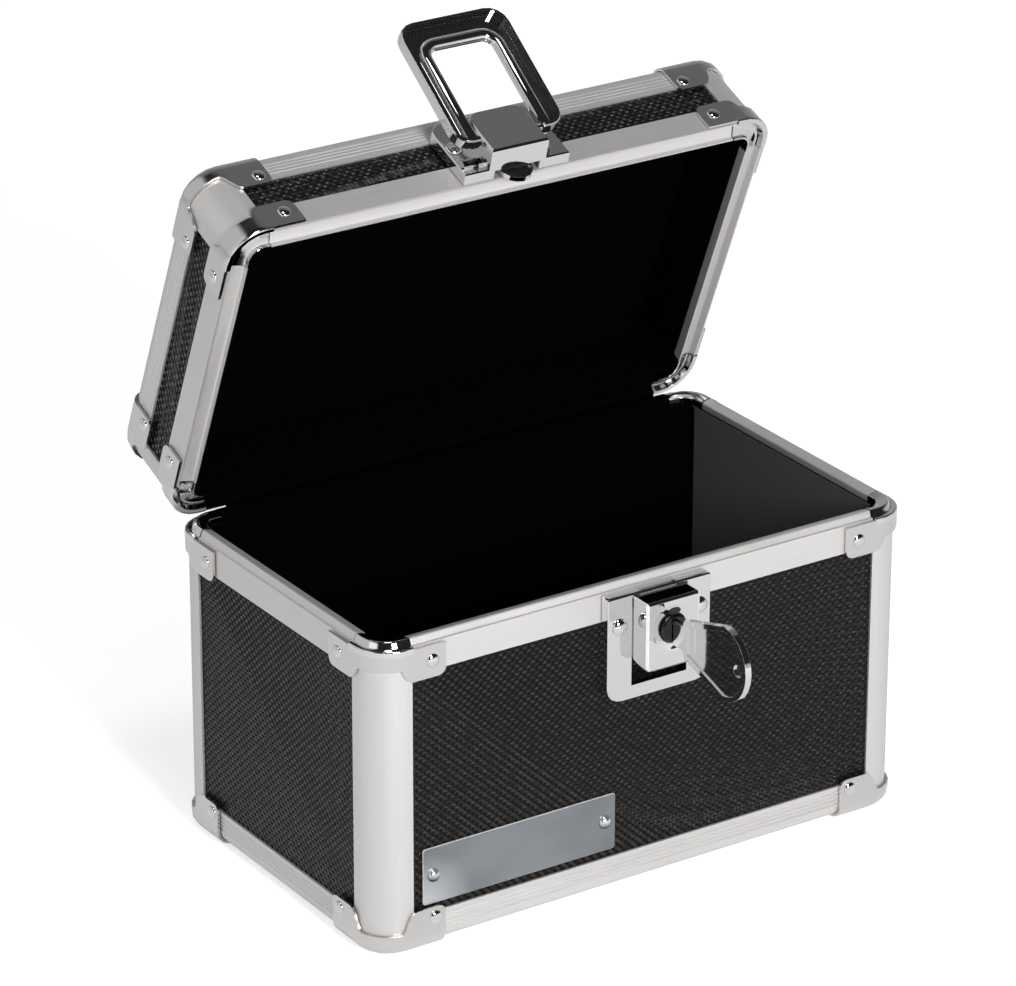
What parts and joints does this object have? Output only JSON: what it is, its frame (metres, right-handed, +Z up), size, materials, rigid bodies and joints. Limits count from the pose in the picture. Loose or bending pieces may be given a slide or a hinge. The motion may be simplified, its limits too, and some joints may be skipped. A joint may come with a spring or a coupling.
{
  "type": "locking file box",
  "caption": "Index-card box of black boards in aluminium rails, with a hinged lid, a folding hasp loop and a keyed sliding lock.",
  "frame": {"origin": "on the ground, in the middle of the whole object's bounding box as it stands with its lid open and its key in", "axes": "+X along the front towards the viewer's right, +Y from the front to the rear, +Z up"},
  "size_m": [0.1878, 0.1864, 0.2343],
  "materials": {
    "aluminium": "satin extrusion",
    "nickel": "nickel-plated pressed steel",
    "chrome": "polished",
    "board": "black embossed laminate",
    "felt": "black flock lining"
  },
  "bodies": {
    "base": {"base_front_bottom_rail": "aluminium", "base_right_bottom_rail": "aluminium", "base_rear_bottom_rail": "aluminium", "base_left_bottom_rail": "aluminium", "base_front_rim_rail": "aluminium", "base_right_rim_rail": "aluminium", "base_rear_rim_rail": "aluminium", "base_left_rim_rail": "aluminium", "base_front_panel": "board", "base_right_panel": "board", "base_rear_panel": "board", "base_left_panel": "board", "base_bottom_panel": "board", "base_front_left_post": "aluminium", "base_front_right_post": "aluminium", "base_rear_right_post": "aluminium", "base_rear_left_post": "aluminium", "base_front_left_cap": "nickel", "base_front_right_cap": "nickel", "base_rear_right_cap": "nickel", "base_rear_left_cap": "nickel", "base_front_left_rim_bracket": "nickel", "base_front_right_rim_bracket": "nickel", "base_rear_right_rim_bracket": "nickel", "base_rear_left_rim_bracket": "nickel", "base_lining": "felt", "hinge_base_leaf": "nickel", "lock_plate": "chrome"},
    "lid": {"lid_front_top_rail": "aluminium", "lid_right_top_rail": "aluminium", "lid_rear_top_rail": "aluminium", "lid_left_top_rail": "aluminium", "lid_front_rim_rail": "aluminium", "lid_right_rim_rail": "aluminium", "lid_rear_rim_rail": "aluminium", "lid_left_rim_rail": "aluminium", "lid_front_panel": "board", "lid_right_panel": "board", "lid_rear_panel": "board", "lid_left_panel": "board", "lid_top_panel": "board", "lid_front_left_post": "aluminium", "lid_front_right_post": "aluminium", "lid_rear_right_post": "aluminium", "lid_rear_left_post": "aluminium", "lid_front_left_cap": "nickel", "lid_front_right_cap": "nickel", "lid_rear_right_cap": "nickel", "lid_rear_left_cap": "nickel", "lid_front_left_rim_bracket": "nickel", "lid_front_right_rim_bracket": "nickel", "lid_rear_right_rim_bracket": "nickel", "lid_rear_left_rim_bracket": "nickel", "lid_lining": "felt", "hinge_lid_leaf": "nickel", "latch_plate": "chrome"},
    "loop": {"finger_loop": "chrome"},
    "slide": {"lock_slide": "chrome"},
    "cylinder": {"lock_cylinder": "nickel"},
    "key": {"key": "chrome"}
  },
  "joints": [
    {"name": "lid_hinge", "type": "hinge", "parent": "base", "child": "lid", "pos_m": [0, 0.06365, 0.09355], "axis": [-1, 0, 0], "range_deg": [-67.6, 27]},
    {"name": "loop_pivot", "type": "hinge", "parent": "lid", "child": "loop", "pos_m": [0.0013, 0.02864, 0.20735], "axis": [1, 0, 0], "range_deg": [0, 166]},
    {"name": "lock_slide_travel", "type": "slide", "parent": "base", "child": "slide", "axis": [0, 0, -1], "range_m": [0, 0.005]},
    {"name": "cylinder_turn", "type": "hinge", "parent": "slide", "child": "cylinder", "pos_m": [0.0013, -0.05, 0.08485], "axis": [0, 1, 0], "range_deg": [0, 90]},
    {"name": "key_pull", "type": "slide", "parent": "cylinder", "child": "key", "axis": [0, -1, 0], "range_m": [0, 0.012]}
  ]
}
